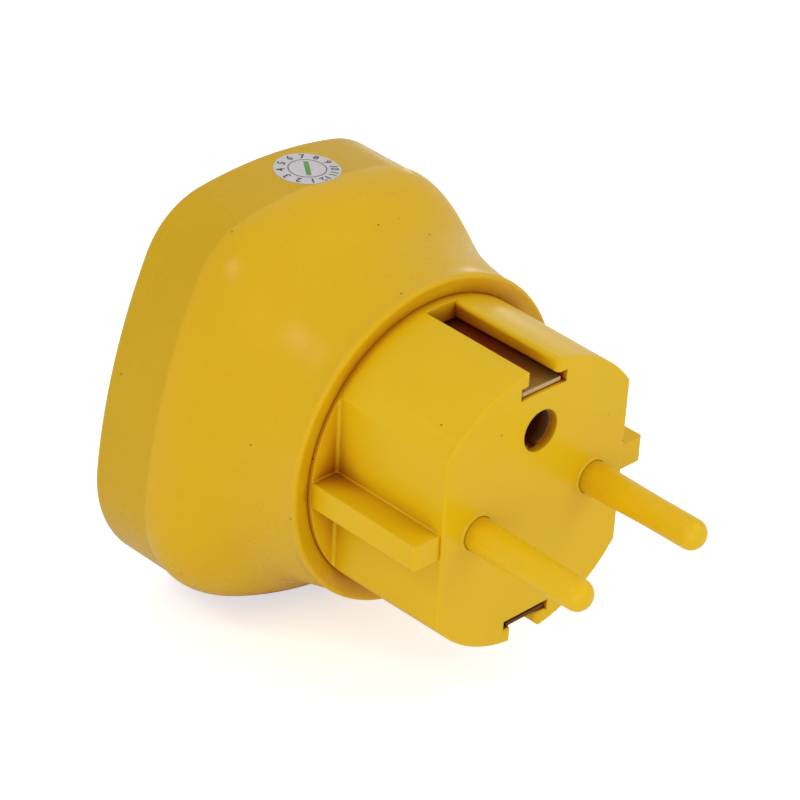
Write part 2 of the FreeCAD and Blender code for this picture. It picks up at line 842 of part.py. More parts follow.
def press_stud(x, z):
    """Drawn sheet stud: flange, neck, bulge, curled top and a dimple for the eyelet."""
    base = cover_front_depth()
    floor = base + stud_sheet
    top = base + stud_height
    land_far = top - stud_shoulder_height
    land_near = land_far - stud_land
    bevel = stud_edge_bevel
    return turned([
        (eyelet_radius, base), (stud_flange_radius, base), (stud_flange_radius, floor - bevel / 2),
        (stud_flange_radius - bevel, floor), (stud_neck_radius + bevel, floor),
        (stud_neck_radius, floor + bevel), (stud_neck_radius, land_near - 2 * bevel),
        (stud_bulge_radius, land_near), (stud_bulge_radius, land_far),
        (stud_bulge_radius - bevel, top - bevel), (stud_bulge_radius - 3 * bevel, top),
        (stud_dimple_radius + bevel, top), (stud_dimple_radius, top - bevel),
        (stud_dimple_radius, floor), (eyelet_radius, floor),
    ], x, z)


def eyelet(x, z):
    """Hollow rivet: flange against the solder tag, barrel, and a curl inside the stud."""
    seat = cover_seat_depth() - tag_sheet
    floor = cover_front_depth() + stud_sheet
    barrel = eyelet_radius - eyelet_clearance / 2
    return turned([
        (eyelet_bore_radius, seat - eyelet_sheet), (eyelet_flange_radius, seat - eyelet_sheet),
        (eyelet_flange_radius, seat), (barrel, seat), (barrel, floor), (eyelet_curl_radius, floor),
        (eyelet_curl_radius, floor + eyelet_curl_height / 2), (barrel, floor + eyelet_curl_height),
        (eyelet_bore_radius, floor + eyelet_curl_height),
    ], x, z)


def solder_tag(x, z):
    """Ring under the eyelet, then a step up and a tongue that points to the middle."""
    far = cover_seat_depth()
    near = far - tag_sheet
    tag = fuse([cylinder(0, 0, tag_ring_radius, near, far), stepped_strip(far, tag_ring_radius, tag_reach)])
    eyelet_hole = cylinder(0, 0, eyelet_radius, near - tag_step, far + margin)
    lead_hole = cylinder(tag_reach, 0, lead_hole_radius, near - tag_step - margin, far)
    tag = pointed_at(tag.cut(Part.makeCompound([eyelet_hole, lead_hole])), -x, -z)
    tag.translate(Vector(x, 0, z))
    return tag


def resistor_middle():
    """Depth of the resistors' middles, halfway between the two tags."""
    front_tag = cover_seat_depth() - tag_sheet - tag_step
    back_tag = strap_back_depth() + tag_sheet + tag_step
    return (front_tag + back_tag) / 2


def resistor(x, z):
    """Round resistor body, thicker over its two end caps."""
    middle = resistor_middle()
    half = resistor_length / 2
    cap = half - resistor_cap_length
    bevel = resistor_bevel
    return turned([
        (0, middle - half), (resistor_end_radius - bevel, middle - half),
        (resistor_end_radius, middle - half + bevel), (resistor_end_radius, middle - cap - bevel),
        (resistor_waist_radius, middle - cap), (resistor_waist_radius, middle + cap),
        (resistor_end_radius, middle + cap + bevel), (resistor_end_radius, middle + half - bevel),
        (resistor_end_radius - bevel, middle + half), (0, middle + half),
    ], x, z)


def leads(x, z):
    """The two leads, from the resistor's ends through the tags."""
    half = resistor_length / 2
    front = cover_seat_depth() - tag_step + lead_tail
    back = strap_back_depth() + tag_step - lead_tail
    middle = resistor_middle()
    near = cylinder(x, z, lead_radius, back, middle - half)
    far = cylinder(x, z, lead_radius, middle + half, front)
    return Part.makeCompound([near, far])


def export(name, shape):
    shape.exportStep(os.path.join("parts", name + ".step"))


def build():
    os.makedirs("parts", exist_ok=True)
    export("rear_housing", rear_housing())
    export("plug_head", plug_head())
    export("dummy_pin_left", dummy_pin(pin_spacing / 2))
    export("dummy_pin_right", dummy_pin(-pin_spacing / 2))
    export("earth_strap", earth_strap())
    export("earth_sleeve", earth_sleeve())
    export("retainer_plate", retainer_plate())
    export("retainer_screws", retainer_screws())
    export("common_tag", common_tag())
    export("common_screw", common_screw())
    export("front_cover", front_cover())
    export("cover_screws", cover_screws())
    names = ("top", "left", "right")
    for name, stud, lead in zip(names, stud_places(), lead_places()):
        export("stud_" + name, press_stud(*stud))
        export("eyelet_" + name, eyelet(*stud))
        export("tag_" + name, solder_tag(*stud))
        export("resistor_" + name, resistor(*lead))
        export("leads_" + name, leads(*lead))


build()
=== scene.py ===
import math

import bmesh
import bpy
from mathutils import Matrix, Vector
from mathutils.bvhtree import BVHTree


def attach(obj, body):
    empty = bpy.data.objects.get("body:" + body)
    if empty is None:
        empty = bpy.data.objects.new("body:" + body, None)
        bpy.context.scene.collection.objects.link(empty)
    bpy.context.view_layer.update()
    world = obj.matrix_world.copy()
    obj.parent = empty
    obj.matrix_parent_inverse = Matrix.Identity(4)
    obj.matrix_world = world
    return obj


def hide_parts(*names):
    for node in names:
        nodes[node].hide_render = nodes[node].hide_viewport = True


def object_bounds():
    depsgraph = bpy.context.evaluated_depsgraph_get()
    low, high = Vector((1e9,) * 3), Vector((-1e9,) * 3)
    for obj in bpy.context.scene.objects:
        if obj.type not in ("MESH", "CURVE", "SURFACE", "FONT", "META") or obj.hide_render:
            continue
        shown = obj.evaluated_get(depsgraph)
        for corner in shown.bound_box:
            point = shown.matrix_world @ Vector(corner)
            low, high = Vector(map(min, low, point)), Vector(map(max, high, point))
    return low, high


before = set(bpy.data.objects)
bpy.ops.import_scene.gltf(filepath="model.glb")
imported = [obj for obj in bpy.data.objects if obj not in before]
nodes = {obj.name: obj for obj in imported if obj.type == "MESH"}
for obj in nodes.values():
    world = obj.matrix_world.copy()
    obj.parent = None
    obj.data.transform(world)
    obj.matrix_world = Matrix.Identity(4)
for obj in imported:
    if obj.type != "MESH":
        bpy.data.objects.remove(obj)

cad_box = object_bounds()

# Plug head: a hollow drum moulded in semi-gloss yellow plastic, with a flat and a guide fin on
# each side. The tool that moulds it is polished, so its skin only has faint flow marks, a fine
# orange peel, a few scuffs along the way it is pushed in, and some specks of dust. Its inner
# corners and crevices get painted shade, darker and redder.
flow_marks_per_metre = 60.0
scuffs_per_metre = 420.0
gloss_patches_per_metre = 340.0
orange_peel_per_metre = 1500.0
orange_peel_depth = 0.000012
speck_net_per_metre = 330.0
speck_reach = 0.00014
painted_corner_shade_reach = 0.007
light_depth = 0.0012
moulded_edge_round = 0.0003


def shade(red, green, blue):
    """Linear colour from 0-255 display values."""
    values = []
    for value in (red, green, blue):
        share = value / 255
        values.append(share / 12.92 if share <= 0.04045 else ((share + 0.055) / 1.055) ** 2.4)
    return tuple(values)


def finish_of(name, colour, roughness, metallic=0.0):
    """A material with its plain values on the shader's own sockets."""
    material = bpy.data.materials.new(name)
    material.use_nodes = True
    shader = material.node_tree.nodes["Principled BSDF"]
    shader.inputs["Base Color"].default_value = (*colour, 1.0)
    shader.inputs["Roughness"].default_value = roughness
    shader.inputs["Metallic"].default_value = metallic
    return material


def socket_of(material, socket):
    """One of the inputs of the material's shader."""
    return material.node_tree.nodes["Principled BSDF"].inputs[socket]


def stretched_place(material, scale=(1.0, 1.0, 1.0)):
    """The point on the object, squeezed along some axes to stretch a pattern along them."""
    tree = material.node_tree
    place = tree.nodes.new("ShaderNodeTexCoord")
    mapping = tree.nodes.new("ShaderNodeMapping")
    mapping.inputs["Scale"].default_value = scale
    tree.links.new(place.outputs["Object"], mapping.inputs["Vector"])
    return mapping.outputs["Vector"]


def patches(material, per_metre, detail=2.0, roughness=0.5, scale=(1.0, 1.0, 1.0)):
    """Soft random patches, with the scale in patches a metre."""
    tree = material.node_tree
    texture = tree.nodes.new("ShaderNodeTexNoise")
    texture.inputs["Scale"].default_value = per_metre
    texture.inputs["Detail"].default_value = detail
    texture.inputs["Roughness"].default_value = roughness
    tree.links.new(stretched_place(material, scale), texture.inputs["Vector"])
    return texture.outputs["Fac"]


def tinted(material, share, stops):
    """Colour that goes through the stops as the share goes from 0 to 1."""
    tree = material.node_tree
    ramp = tree.nodes.new("ShaderNodeValToRGB")
    while len(ramp.color_ramp.elements) < len(stops):
        ramp.color_ramp.elements.new(0.5)
    for element, (position, colour) in zip(ramp.color_ramp.elements, stops):
        element.position = position
        element.color = (*colour, 1.0)
    tree.links.new(share, ramp.inputs["Fac"])
    return ramp.outputs["Color"]


def grey(value):
    """A tint that changes the brightness only."""
    return (value, value, value)


def times(material, first, second):
    """One colour multiplied by another."""
    tree = material.node_tree
    mix = tree.nodes.new("ShaderNodeMix")
    mix.data_type = "RGBA"
    mix.blend_type = "MULTIPLY"
    mix.inputs["Factor"].default_value = 1.0
    tree.links.new(first, mix.inputs["A"])
    tree.links.new(second, mix.inputs["B"])
    return mix.outputs["Result"]


def tint_more(material, tint):
    """Multiplies what already colours the material by one more tint."""
    socket = socket_of(material, "Base Color")
    material.node_tree.links.new(times(material, socket.links[0].from_socket, tint), socket)


def raised(material, height, depth, strength=1.0):
    """Fine relief of the given depth in metres, on top of any relief that is there already."""
    tree = material.node_tree
    bump = tree.nodes.new("ShaderNodeBump")
    for link in socket_of(material, "Normal").links:
        tree.links.new(link.from_socket, bump.inputs["Normal"])
    bump.inputs["Strength"].default_value = strength
    bump.inputs["Distance"].default_value = depth
    tree.links.new(height, bump.inputs["Height"])
    tree.links.new(bump.outputs["Normal"], socket_of(material, "Normal"))


def dust_specks(material, per_metre, share_of_cells, reach):
    """Brown dots of trapped dust, one in some of the cells of a random net."""
    tree = material.node_tree
    net = tree.nodes.new("ShaderNodeTexVoronoi")
    net.inputs["Scale"].default_value = per_metre
    tree.links.new(stretched_place(material), net.inputs["Vector"])
    near = tree.nodes.new("ShaderNodeMath")
    near.operation = "LESS_THAN"
    near.inputs[1].default_value = reach * per_metre
    tree.links.new(net.outputs["Distance"], near.inputs[0])
    cell = tree.nodes.new("ShaderNodeSeparateColor")
    tree.links.new(net.outputs["Color"], cell.inputs["Color"])
    chosen = tree.nodes.new("ShaderNodeMath")
    chosen.operation = "LESS_THAN"
    chosen.inputs[1].default_value = share_of_cells
    tree.links.new(cell.outputs["Red"], chosen.inputs[0])
    both = tree.nodes.new("ShaderNodeMath")
    both.operation = "MULTIPLY"
    tree.links.new(near.outputs["Value"], both.inputs[0])
    tree.links.new(chosen.outputs["Value"], both.inputs[1])
    return tinted(material, both.outputs["Value"], [(0.0, grey(1.0)), (1.0, (0.34, 0.27, 0.2))])


def soften_edges(material, radius):
    """Rounds the outer edges a little in the shading, and leaves the inner corners sharp."""
    tree = material.node_tree
    rounded = tree.nodes.new("ShaderNodeBevel")
    rounded.inputs["Radius"].default_value = radius
    plain = tree.nodes.new("ShaderNodeNewGeometry")
    openness = tree.nodes.new("ShaderNodeAmbientOcclusion")
    openness.samples = 8
    openness.inputs["Distance"].default_value = radius * 2.0
    outer = tinted(material, openness.outputs["AO"], [(0.7, grey(0.0)), (0.95, grey(1.0))])
    mix = tree.nodes.new("ShaderNodeMix")
    mix.data_type = "VECTOR"
    tree.links.new(outer, mix.inputs["Factor"])
    tree.links.new(plain.outputs["Normal"], mix.inputs["A"])
    tree.links.new(rounded.outputs["Normal"], mix.inputs["B"])
    tree.links.new(mix.outputs["Result"], socket_of(material, "Normal"))


def moulded_yellow(name, colour, roughness, speck_share, edge_round=moulded_edge_round):
    """Yellow plastic: flow marks, uneven gloss, orange peel, fine scuffs, a few specks, painted
    corner shade.
    """
    base = shade(*colour)
    material = finish_of(name, base, roughness)
    socket_of(material, "Specular IOR Level").default_value = 0.22
    flow = tinted(material, patches(material, flow_marks_per_metre, detail=3.0), [
        (0.32, tuple(value * 0.97 for value in base)),
        (0.68, tuple(min(1.0, value * 1.025) for value in base)),
    ])
    specks = dust_specks(material, speck_net_per_metre, speck_share, speck_reach)
    tree = material.node_tree
    tree.links.new(times(material, flow, specks), socket_of(material, "Base Color"))
    scuffs = patches(material, scuffs_per_metre, scale=(1.0, 0.12, 1.0))
    tint_more(material, tinted(material, scuffs, [(0.7, grey(1.0)), (0.8, grey(1.05))]))
    # Painted shade: inner corners and crevices, where the occlusion finds near walls, are made
    # darker and redder.
    corner = tree.nodes.new("ShaderNodeAmbientOcclusion")
    corner.samples = 8
    corner.inputs["Distance"].default_value = painted_corner_shade_reach
    tint_more(material, tinted(material, corner.outputs["AO"], [
        (0.22, (0.3, 0.05, 1.0)), (0.46, (0.72, 0.45, 1.0)), (0.6, grey(1.0)),
    ]))
    gloss = tinted(material, patches(material, gloss_patches_per_metre, detail=4.0), [
        (0.3, grey(roughness - 0.04)), (0.7, grey(roughness + 0.05)),
    ])
    tree.links.new(gloss, socket_of(material, "Roughness"))
    if edge_round:
        soften_edges(material, edge_round)
    orange_peel = patches(material, orange_peel_per_metre, detail=3.0)
    raised(material, orange_peel, orange_peel_depth, strength=0.35)
    socket_of(material, "Subsurface Weight").default_value = 0.3
    socket_of(material, "Subsurface Radius").default_value = (1.0, 0.4, 0.05)
    socket_of(material, "Subsurface Scale").default_value = light_depth
    return material


def dress(node, material):
    """Gives a CAD node its material."""
    mesh = nodes[node].data
    mesh.materials.clear()
    mesh.materials.append(material)


head_yellow = moulded_yellow("head_yellow", (228, 185, 12), roughness=0.32, speck_share=0.3)
dress("plug_head", head_yellow)

# Dummy pins: solid mouldings of the same plastic, dropped into the head from behind. They only
# fill the socket's live and neutral holes.
pin_yellow = moulded_yellow(
    "pin_yellow", (231, 188, 17), roughness=0.28, speck_share=0.1, edge_round=0.0,
)
dress("dummy_pin_left", pin_yellow)
dress("dummy_pin_right", pin_yellow)

# Contact sleeve: a slit brass tube behind the hole in the face, turned on a lathe, so fine rings
# run round it. It has tarnished a little, and painted shade makes it darker and redder towards its
# closed end, down the hole.
metal_patches_per_metre = 330.0
metal_grain_depth = 0.000006
sleeve_mouth, sleeve_bottom = -0.0012, -0.012


def along(material, axis, start, end):
    """Share from 0 to 1 of the way between two places along an axis of the object."""
    tree = material.node_tree
    place = tree.nodes.new("ShaderNodeTexCoord")
    split = tree.nodes.new("ShaderNodeSeparateXYZ")
    tree.links.new(place.outputs["Object"], split.inputs["Vector"])
    share = tree.nodes.new("ShaderNodeMapRange")
    share.inputs["From Min"].default_value = start
    share.inputs["From Max"].default_value = end
    tree.links.new(split.outputs[axis], share.inputs["Value"])
    return share.outputs["Result"]


def worked_metal(name, colour, roughness, grain, stretch, tarnish_left=0.86):
    """Metal with the grain that its working left, stretched along some axes, and tarnish."""
    base = shade(*colour)
    material = finish_of(name, base, roughness, 1.0)
    tree = material.node_tree
    tarnish = tinted(material, patches(material, metal_patches_per_metre, detail=3.0), [
        (0.35, tuple(value * tarnish_left for value in base)), (0.65, base),
    ])
    lines = patches(material, grain, detail=3.0, roughness=0.6, scale=stretch)
    tint = tinted(material, lines, [(0.3, grey(0.9)), (0.7, grey(1.06))])
    tree.links.new(times(material, tarnish, tint), socket_of(material, "Base Color"))
    dull = tinted(material, lines, [(0.25, grey(roughness + 0.1)), (0.75, grey(roughness - 0.06))])
    tree.links.new(dull, socket_of(material, "Roughness"))
    raised(material, lines, metal_grain_depth, strength=0.6)
    return material


sleeve_brass = worked_metal(
    "sleeve_brass", (214, 172, 104), roughness=0.3, grain=5200.0, stretch=(0.0, 1.0, 0.0),
)
socket_of(sleeve_brass, "Metallic").default_value = 0.85
# Painted shade down the hole: darker and redder from the mouth to the closed end.
painted_hole_shade = along(sleeve_brass, "Y", sleeve_mouth, sleeve_bottom)
tint_more(sleeve_brass, tinted(sleeve_brass, painted_hole_shade, [
    (0.0, grey(1.0)), (0.12, (0.6, 0.22, 0.1)), (1.0, (0.4, 0.09, 0.04)),
]))
dress("earth_sleeve", sleeve_brass)

# Earth strap: sprung bronze strip bent into a U, one leg in each slot. The lower leg reaches
# nearly to the face and its tip flares out. Painted shade makes it browner deeper in the slots
# and much darker on the lower leg; the end of the upper leg keeps the bronze's own colour.
upper_leg_end, slot_shade_end = -0.0005, -0.011
lower_side, tip_fold, tip_zone = -0.015, -0.0042, -0.0013
tip_reach, tip_flare = 0.00105, 0.0003
strap_bronze = worked_metal(
    "strap_bronze", (214, 190, 142), roughness=0.34, grain=2600.0, stretch=(1.0, 0.04, 1.0),
)
socket_of(strap_bronze, "Metallic").default_value = 0.5
socket_of(strap_bronze, "Specular IOR Level").default_value = 0.2
# Painted shade: browner and darker deeper in the slots, the upper leg's end left at its own
# colour.
painted_slot_shade = along(strap_bronze, "Y", upper_leg_end, slot_shade_end)
tint_more(strap_bronze, tinted(strap_bronze, painted_slot_shade, [
    (0.0, grey(1.0)), (0.015, (0.56, 0.43, 0.14)),
    (0.2, (0.5, 0.27, 0.08)), (1.0, (0.62, 0.12, 0.03)),
]))
# Painted shade: the lower leg, in the lower slot, is made much darker.
painted_lower_leg_shade = along(strap_bronze, "Z", 0.001, -0.001)
tint_more(strap_bronze, tinted(strap_bronze, painted_lower_leg_shade, [
    (0.0, grey(1.0)), (1.0, (0.24, 0.09, 0.02)),
]))


def piece_from(bm, name, material, sharp_from=35.0):
    """A piece at the origin from a finished bmesh, smooth except across sharp edges."""
    mesh = bpy.data.meshes.new(name)
    limit = math.radians(sharp_from)
    for face in bm.faces:
        face.smooth = True
    for edge in bm.edges:
        if len(edge.link_faces) == 2 and edge.calc_face_angle(0.0) > limit:
            edge.smooth = False
    bm.to_mesh(mesh)
    bm.free()
    piece = bpy.data.objects.new(name, mesh)
    bpy.context.scene.collection.objects.link(piece)
    mesh.materials.append(material)
    return piece


strap_bm = bmesh.new()
strap_bm.from_mesh(nodes["earth_strap"].data)
bmesh.ops.remove_doubles(strap_bm, verts=strap_bm.verts, dist=1e-7)
bmesh.ops.bisect_plane(
    strap_bm, geom=strap_bm.verts[:] + strap_bm.edges[:] + strap_bm.faces[:], dist=1e-7,
    plane_co=(0.0, tip_fold, 0.0), plane_no=(0.0, 1.0, 0.0),
)
lower_tip = [
    vertex for vertex in strap_bm.verts
    if vertex.co.z < lower_side and vertex.co.y > tip_zone
]
bmesh.ops.translate(strap_bm, verts=lower_tip, vec=(0.0, tip_reach, -tip_flare))
strap = piece_from(strap_bm, "spring_strap", strap_bronze)
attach(strap, "root")
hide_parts("earth_strap")

# Retainer plate: a plain moulded disc that closes the head from behind. Nobody sees it, so its
# tool is not polished and its skin is dull.
plate_grain_per_metre = 3200.0
plate_grain_depth = 0.00003
retainer_yellow = moulded_yellow(
    "retainer_yellow", (214, 172, 48), roughness=0.52, speck_share=0.2,
)
plate_grain = patches(retainer_yellow, plate_grain_per_metre, detail=4.0)
raised(retainer_yellow, plate_grain, plate_grain_depth, strength=0.6)
dress("retainer_plate", retainer_yellow)

# Retainer screws and common screw: zinc-plated steel, with turned heads and rolled threads.
# They hold the retainer plate, the strap and the common tag. Rings run round each one's axis.
retainer_screw_axes = [(0.01026, -0.00924), (-0.01026, -0.00924)]
retainer_pitch, common_pitch = 0.0008, 0.0007
turned_rings_per_metre = 9000.0
turned_depth, thread_depth = 0.000008, 0.00004
shank_reach = 0.00145


def ring_metal(name, colour, roughness, axes, pitch=0.0):
    """Turned metal whose rings run round one or more axes, with a thread if it has a pitch."""
    material = worked_metal(
        name, colour, roughness, grain=400.0, stretch=(1.0, 1.0, 1.0), tarnish_left=0.96,
    )
    tree = material.node_tree
    nearest = None
    for x, z in axes:
        place = tree.nodes.new("ShaderNodeTexCoord")
        across = tree.nodes.new("ShaderNodeMapping")
        across.inputs["Scale"].default_value = (1.0, 0.0, 1.0)
        across.inputs["Location"].default_value = (-x, 0.0, -z)
        tree.links.new(place.outputs["Object"], across.inputs["Vector"])
        reach = tree.nodes.new("ShaderNodeVectorMath")
        reach.operation = "LENGTH"
        tree.links.new(across.outputs["Vector"], reach.inputs[0])
        if nearest is None:
            nearest = reach.outputs["Value"]
            continue
        closer = tree.nodes.new("ShaderNodeMath")
        closer.operation = "MINIMUM"
        tree.links.new(nearest, closer.inputs[0])
        tree.links.new(reach.outputs["Value"], closer.inputs[1])
        nearest = closer.outputs["Value"]
    rings = tree.nodes.new("ShaderNodeTexNoise")
    rings.noise_dimensions = "1D"
    rings.inputs["Scale"].default_value = turned_rings_per_metre
    tree.links.new(nearest, rings.inputs["W"])
    height = rings.outputs["Fac"]
    if pitch:
        turns = along(material, "Y", 0.0, pitch / (2.0 * math.pi))
        turns.node.clamp = False
        wave = tree.nodes.new("ShaderNodeMath")
        wave.operation = "SINE"
        tree.links.new(turns, wave.inputs[0])
        shank = tree.nodes.new("ShaderNodeMath")
        shank.operation = "LESS_THAN"
        shank.inputs[1].default_value = shank_reach
        tree.links.new(nearest, shank.inputs[0])
        thread = tree.nodes.new("ShaderNodeMath")
        thread.operation = "MULTIPLY_ADD"
        tree.links.new(wave.outputs["Value"], thread.inputs[0])
        tree.links.new(shank.outputs["Value"], thread.inputs[1])
        tree.links.new(height, thread.inputs[2])
        height = thread.outputs["Value"]
    tint_more(material, tinted(material, rings.outputs["Fac"], [
        (0.35, grey(0.92)), (0.65, grey(1.04)),
    ]))
    raised(material, height, thread_depth if pitch else turned_depth, strength=0.5)
    return material


screw_grey = (192, 192, 186)
retainer_zinc = ring_metal("retainer_zinc", screw_grey, 0.3, retainer_screw_axes, retainer_pitch)
dress("retainer_screws", retainer_zinc)
common_zinc = ring_metal("common_zinc", screw_grey, 0.3, [(0.0, 0.0)], common_pitch)
dress("common_screw", common_zinc)

# Common tag: a three-armed tag stamped from tinned brass sheet, clamped to the strap by the
# common screw. It joins the far leads of the three resistors to the strap.
tinned_brass = worked_metal(
    "tinned_brass", (208, 202, 186), roughness=0.34, grain=900.0, stretch=(0.15, 1.0, 1.0),
    tarnish_left=0.93,
)
dress("common_tag", tinned_brass)

# Rear housing: the bell that the head sits in, moulded in one piece with its rim band and its
# rounded collar lip. The bell is polished; the rim band's colour is made a shade darker.
housing_yellow = moulded_yellow(
    "housing_yellow", (222, 177, 12), roughness=0.29, speck_share=0.6,
)
bell_side, band_side = -0.0388, -0.0393
band_share = along(housing_yellow, "Y", bell_side, band_side)
tint_more(housing_yellow, tinted(housing_yellow, band_share, [
    (0.0, grey(1.0)), (1.0, grey(0.87)),
]))
dress("rear_housing", housing_yellow)

# Label: a round white paper sticker on top of the rim band, pressed down over the crease. It is
# printed with plain numbers like a dial, one to twelve, round a thin ring with a green pointer.
label_middle = Vector((-0.00142, -0.04255, 0.0))
label_radius = 0.00416
label_film = 0.00002
print_film = 0.000028
number_size, number_boldness = 0.00145, 0.00003
number_reach = label_radius * 0.79
ring_inner, ring_outer = label_radius * 0.55, label_radius * 0.585
pointer_reach, pointer_slimness, pointer_turn = label_radius * 0.45, 0.17, -35.0
housing_mesh = nodes["rear_housing"].data
housing_skin = BVHTree.FromPolygons(
    [vertex.co.copy() for vertex in housing_mesh.vertices],
    [tuple(polygon.vertices) for polygon in housing_mesh.polygons],
)


def lay_on_housing(bm, lift):
    """Drops every point straight down on the housing, and leaves it the lift above."""
    for vertex in bm.verts:
        start = Vector((vertex.co.x, vertex.co.y, 0.1))
        place, normal, _, _ = housing_skin.ray_cast(start, Vector((0.0, 0.0, -1.0)))
        vertex.co = place + normal * lift
    bm.normal_update()
    turned_down = [face for face in bm.faces if face.normal.z < 0.0]
    bmesh.ops.reverse_faces(bm, faces=turned_down)


def flat_ring(inner, outer, rings):
    """A flat ring round the label's middle, or a disc if the inner radius is nought."""
    bm = bmesh.new()
    start = bmesh.ops.create_vert(bm, co=(inner, 0.0, 0.0))["vert"]
    spoke = bmesh.ops.extrude_vert_indiv(bm, verts=start)
    bmesh.ops.translate(bm, verts=spoke["verts"], vec=(outer - inner, 0.0, 0.0))
    if rings > 1:
        bmesh.ops.subdivide_edges(bm, edges=spoke["edges"], cuts=rings - 1)
    bmesh.ops.spin(
        bm, geom=bm.verts[:] + bm.edges[:], cent=(0.0, 0.0, 0.0), axis=(0.0, 0.0, 1.0),
        angle=math.tau, steps=72, use_merge=True,
    )
    bmesh.ops.remove_doubles(bm, verts=bm.verts, dist=1e-6)
    bmesh.ops.translate(bm, verts=bm.verts, vec=label_middle)
    return bm


label_bm = flat_ring(0.0, label_radius, 12)
lay_on_housing(label_bm, label_film)
label_white = finish_of("label_white", shade(203, 198, 200), 0.42)
fibres = patches(label_white, 1400.0, detail=5.0, roughness=0.7)
paper = tinted(label_white, fibres, [(0.3, shade(196, 190, 193)), (0.7, shade(210, 205, 207))])
label_white.node_tree.links.new(paper, socket_of(label_white, "Base Color"))
raised(label_white, fibres, 0.00001, strength=0.5)
label = piece_from(label_bm, "label", label_white)
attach(label, "root")


def printed(name, colour):
    """Flat ink with the fine gaps that paper fibres leave in it."""
    dark = shade(*colour)
    material = finish_of(name, dark, 0.5)
    light = tuple(min(1.0, value * 1.5 + 0.02) for value in dark)
    ink = tinted(material, patches(material, 5200.0, detail=3.0), [(0.45, dark), (0.75, light)])
    material.node_tree.links.new(ink, socket_of(material, "Base Color"))
    return material


marks_bm = bmesh.new()
for hour in range(1, 13):
    letters = bpy.data.curves.new("number", "FONT")
    letters.body = str(hour)
    letters.size = number_size
    letters.offset = number_boldness
    letters.align_x = "CENTER"
    letters.align_y = "CENTER"
    letters.resolution_u = 2
    holder = bpy.data.objects.new("number", letters)
    bpy.context.scene.collection.objects.link(holder)
    seen_holder = holder.evaluated_get(bpy.context.evaluated_depsgraph_get())
    flat = bpy.data.meshes.new_from_object(seen_holder)
    done = len(marks_bm.verts)
    marks_bm.from_mesh(flat)
    marks_bm.verts.ensure_lookup_table()
    fresh = marks_bm.verts[done:]
    turn = Matrix.Rotation(-math.tau * hour / 12, 3, "Z")
    bmesh.ops.translate(marks_bm, verts=fresh, vec=(0.0, number_reach, 0.0))
    bmesh.ops.rotate(marks_bm, verts=fresh, cent=(0.0, 0.0, 0.0), matrix=turn)
    bpy.data.objects.remove(holder)
    bpy.data.curves.remove(letters)
    bpy.data.meshes.remove(flat)
bmesh.ops.translate(marks_bm, verts=marks_bm.verts, vec=label_middle)
lay_on_housing(marks_bm, print_film)
numbers = piece_from(marks_bm, "label_numbers", printed("label_black", (52, 50, 54)))
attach(numbers, "root")

ring_bm = flat_ring(ring_inner, ring_outer, 1)
lay_on_housing(ring_bm, print_film)
ring_piece = piece_from(ring_bm, "label_ring", printed("label_grey", (84, 82, 88)))
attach(ring_piece, "root")

pointer_bm = bmesh.new()
bmesh.ops.create_grid(pointer_bm, x_segments=1, y_segments=10, size=pointer_reach)
bmesh.ops.scale(pointer_bm, verts=pointer_bm.verts, vec=(pointer_slimness, 1.0, 1.0))
bmesh.ops.rotate(
    pointer_bm, verts=pointer_bm.verts, cent=(0.0, 0.0, 0.0),
    matrix=Matrix.Rotation(math.radians(pointer_turn), 3, "Z"),
)
bmesh.ops.translate(pointer_bm, verts=pointer_bm.verts, vec=label_middle)
lay_on_housing(pointer_bm, print_film)
pointer = piece_from(pointer_bm, "label_pointer", printed("label_green", (84, 140, 66)))
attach(pointer, "root")

# Press studs and eyelets: drawn from thin brass sheet and nickel plated, so faint rings run round
# each one. The eyelets are hollow rivets curled over inside the studs.
stud_axes = {"top": (0.0, 0.0135), "left": (-0.014, -0.0095), "right": (0.014, -0.0095)}
for side, axis in stud_axes.items():
    nickel = ring_metal("stud_nickel_" + side, (206, 203, 196), 0.24, [axis])
    dress("stud_" + side, nickel)
    dress("eyelet_" + side, nickel)

# Solder tags: stamped rings with a tongue, from the same tinned sheet as the common tag, clamped
# under the eyelets inside the cover.
for side in stud_axes:
    dress("tag_" + side, tinned_brass)

# Resistors: dipped metal-film type in blue lacquer, with five painted rings for one megohm.
# The rings read brown, black, green, gold and brown from the front.
lacquer = finish_of("resistor_lacquer", shade(96, 158, 196), 0.3)
blue = tinted(lacquer, patches(lacquer, 700.0, detail=3.0), [
    (0.3, shade(90, 150, 188)), (0.7, shade(102, 166, 204)),
])
resistor_front, resistor_back = -0.03835, -0.03195
band_colours = [
    (0.1, (96, 56, 30)), (0.32, (24, 23, 24)), (0.46, (40, 120, 60)), (0.6, (176, 138, 60)),
    (0.86, (96, 56, 30)),
]
band_width = 0.07
ringed = along(lacquer, "Y", resistor_front, resistor_back)
paint = lacquer.node_tree.nodes.new("ShaderNodeValToRGB")
paint.color_ramp.interpolation = "CONSTANT"
stops = paint.color_ramp.elements
stops[0].color = (1.0, 1.0, 1.0, 0.0)
stops.remove(stops[1])
for start, colour in band_colours:
    stops.new(start).color = (*shade(*colour), 1.0)
    stops.new(start + band_width).color = (1.0, 1.0, 1.0, 0.0)
lacquer.node_tree.links.new(ringed, paint.inputs["Fac"])
coat = lacquer.node_tree.nodes.new("ShaderNodeMix")
coat.data_type = "RGBA"
lacquer.node_tree.links.new(paint.outputs["Alpha"], coat.inputs["Factor"])
lacquer.node_tree.links.new(blue, coat.inputs["A"])
lacquer.node_tree.links.new(paint.outputs["Color"], coat.inputs["B"])
lacquer.node_tree.links.new(coat.outputs["Result"], socket_of(lacquer, "Base Color"))
raised(lacquer, patches(lacquer, 900.0), 0.00002, strength=0.5)
for side in stud_axes:
    dress("resistor_" + side, lacquer)

